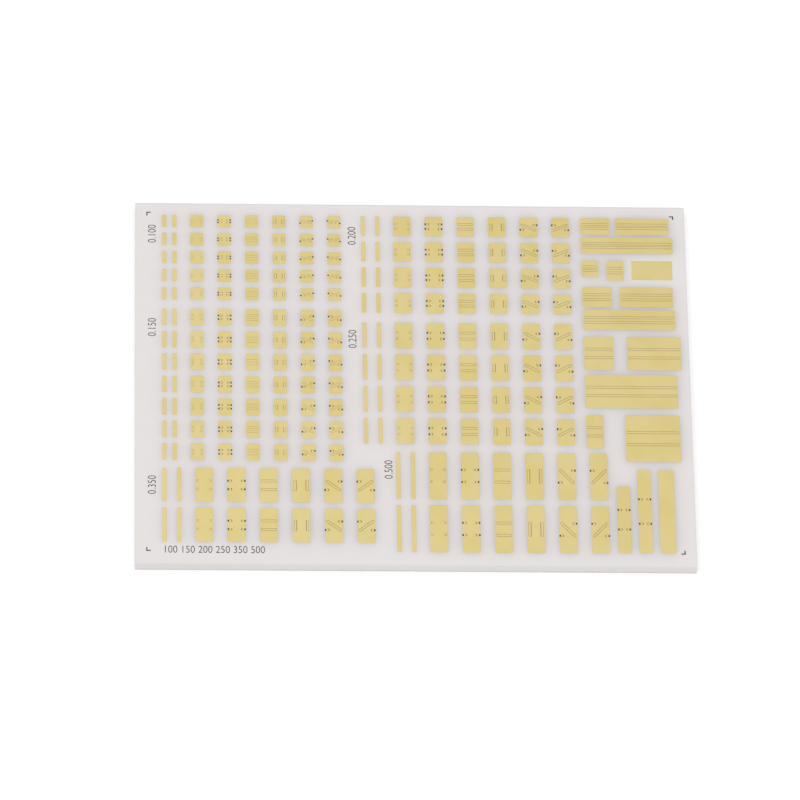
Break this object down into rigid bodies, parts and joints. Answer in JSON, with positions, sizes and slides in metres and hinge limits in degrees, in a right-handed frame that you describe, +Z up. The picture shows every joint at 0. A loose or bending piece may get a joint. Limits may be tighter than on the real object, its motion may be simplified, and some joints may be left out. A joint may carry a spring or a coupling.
{
  "type": "probe calibration substrate",
  "caption": "Thin rectangular ceramic plate with gold thin film standards in rows by pitch, film resistors at the pad edges, coplanar lines and corner alignment marks.",
  "frame": {"origin": "middle of the underside of the ceramic plate", "axes": "+Z up out of the face that carries the film, +X to the right along the long side, +Y towards the rear edge, at the finest pitch rows"},
  "size_m": [0.02, 0.015, 0.0005],
  "materials": {
    "alumina": "fine ground",
    "gold_film": "matte gold film",
    "resistor_film": "matte",
    "mark_film": "matte"
  },
  "bodies": {
    "root": {"alignment_marks": "mark_film", "ceramic_plate": "alumina", "falling_thrus_100": "gold_film", "falling_thrus_150": "gold_film", "falling_thrus_200": "gold_film", "falling_thrus_250": "gold_film", "falling_thrus_350": "gold_film", "falling_thrus_500": "gold_film", "load_bars_1000": "gold_film", "load_bars_800": "gold_film", "load_pads_100": "gold_film", "load_pads_150": "gold_film", "load_pads_200": "gold_film", "load_pads_250": "gold_film", "load_pads_350": "gold_film", "load_pads_500": "gold_film", "load_resistors_100": "resistor_film", "load_resistors_1000": "resistor_film", "load_resistors_150": "resistor_film", "load_resistors_200": "resistor_film", "load_resistors_250": "resistor_film", "load_resistors_350": "resistor_film", "load_resistors_500": "resistor_film", "load_resistors_800": "resistor_film", "loopback_thrus_100": "gold_film", "loopback_thrus_150": "gold_film", "loopback_thrus_200": "gold_film", "loopback_thrus_250": "gold_film", "loopback_thrus_350": "gold_film", "loopback_thrus_500": "gold_film", "open_pads_100": "gold_film", "open_pads_150": "gold_film", "open_pads_200": "gold_film", "open_pads_250": "gold_film", "open_pads_350": "gold_film", "open_pads_500": "gold_film", "plain_pads": "gold_film", "rising_thrus_100": "gold_film", "rising_thrus_150": "gold_film", "rising_thrus_200": "gold_film", "rising_thrus_250": "gold_film", "rising_thrus_350": "gold_film", "rising_thrus_500": "gold_film", "short_bars_100": "gold_film", "short_bars_150": "gold_film", "short_bars_200": "gold_film", "short_bars_250": "gold_film", "short_bars_350": "gold_film", "short_bars_500": "gold_film", "straight_thrus_100": "gold_film", "straight_thrus_150": "gold_film", "straight_thrus_200": "gold_film", "straight_thrus_250": "gold_film", "straight_thrus_350": "gold_film", "straight_thrus_500": "gold_film", "transmission_lines_150": "gold_film", "transmission_lines_200": "gold_film", "transmission_lines_350": "gold_film", "transmission_lines_500": "gold_film"}
  },
  "joints": []
}
